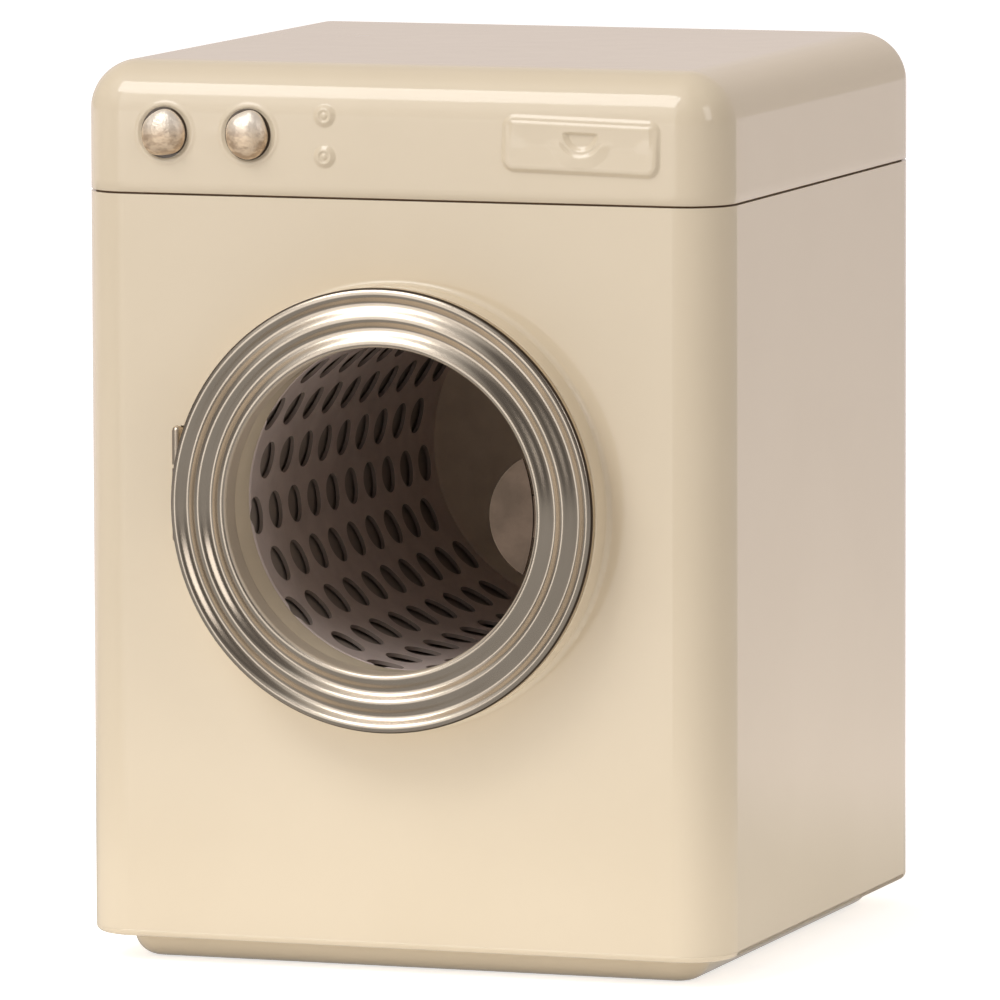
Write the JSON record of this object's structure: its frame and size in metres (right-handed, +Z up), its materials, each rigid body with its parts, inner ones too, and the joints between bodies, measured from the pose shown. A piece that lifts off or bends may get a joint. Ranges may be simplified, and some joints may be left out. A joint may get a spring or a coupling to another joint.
{
  "type": "toy washing machine",
  "caption": "Miniature front-loading toy washing machine in pressed sheet steel, with a hinged porthole ring, a turning perforated drum and turning dials.",
  "frame": {"origin": "middle of the plinth's flat underside, on the floor, under the cabinet's centre", "axes": "+Z up, -Y out of the front with the porthole, +X to the right as seen from the front"},
  "size_m": [0.1, 0.1055, 0.1339],
  "materials": {
    "cream_paint": "satin gloss enamel, warm beige",
    "nickel": "satin nickel-bronze plating",
    "drum_metal": "dull taupe plating",
    "tub_enamel": "dark matt enamel",
    "dial_metal": "polished, lightly hammered rose brass",
    "bush_brass": "turned brass",
    "zinc": "bright zinc plating"
  },
  "bodies": {
    "cabinet": {"cabinet_shell": "cream_paint", "top_cover": "cream_paint", "cover_frame": "zinc", "back_panel": "cream_paint", "base_pan": "cream_paint", "back_rivets": "zinc", "base_rivets": "zinc", "cover_rivets": "zinc", "tub": "tub_enamel", "bearing_bush": "bush_brass", "hinge_bracket": "nickel", "hinge_pin": "nickel"},
    "door": {"door_ring": "nickel", "door_back_plate": "nickel", "finger_tab": "nickel"},
    "drum": {"drum_shell": "drum_metal", "drum_back_plate": "drum_metal", "drum_hub": "zinc", "drum_shaft": "zinc", "shaft_washer": "zinc", "shaft_clip": "zinc"},
    "left_knob": {"left_dial": "dial_metal", "left_dial_shank": "zinc", "left_dial_washer": "zinc"},
    "right_knob": {"right_dial": "dial_metal", "right_dial_shank": "zinc", "right_dial_washer": "zinc"}
  },
  "joints": [
    {"name": "door_swing", "type": "hinge", "parent": "cabinet", "child": "door", "pos_m": [-0.0328, -0.0526, 0.0721], "axis": [0, 0, -1], "range_deg": [0, 140]},
    {"name": "drum_spin", "type": "hinge", "parent": "cabinet", "child": "drum", "pos_m": [0, 0, 0.0696], "axis": [0, -1, 0], "continuous": true},
    {"name": "left_dial_turn", "type": "hinge", "parent": "cabinet", "child": "left_knob", "pos_m": [-0.036, -0.0486, 0.1236], "axis": [0, -1, 0], "continuous": true},
    {"name": "right_dial_turn", "type": "hinge", "parent": "cabinet", "child": "right_knob", "pos_m": [-0.0229, -0.0486, 0.1236], "axis": [0, -1, 0], "continuous": true}
  ]
}
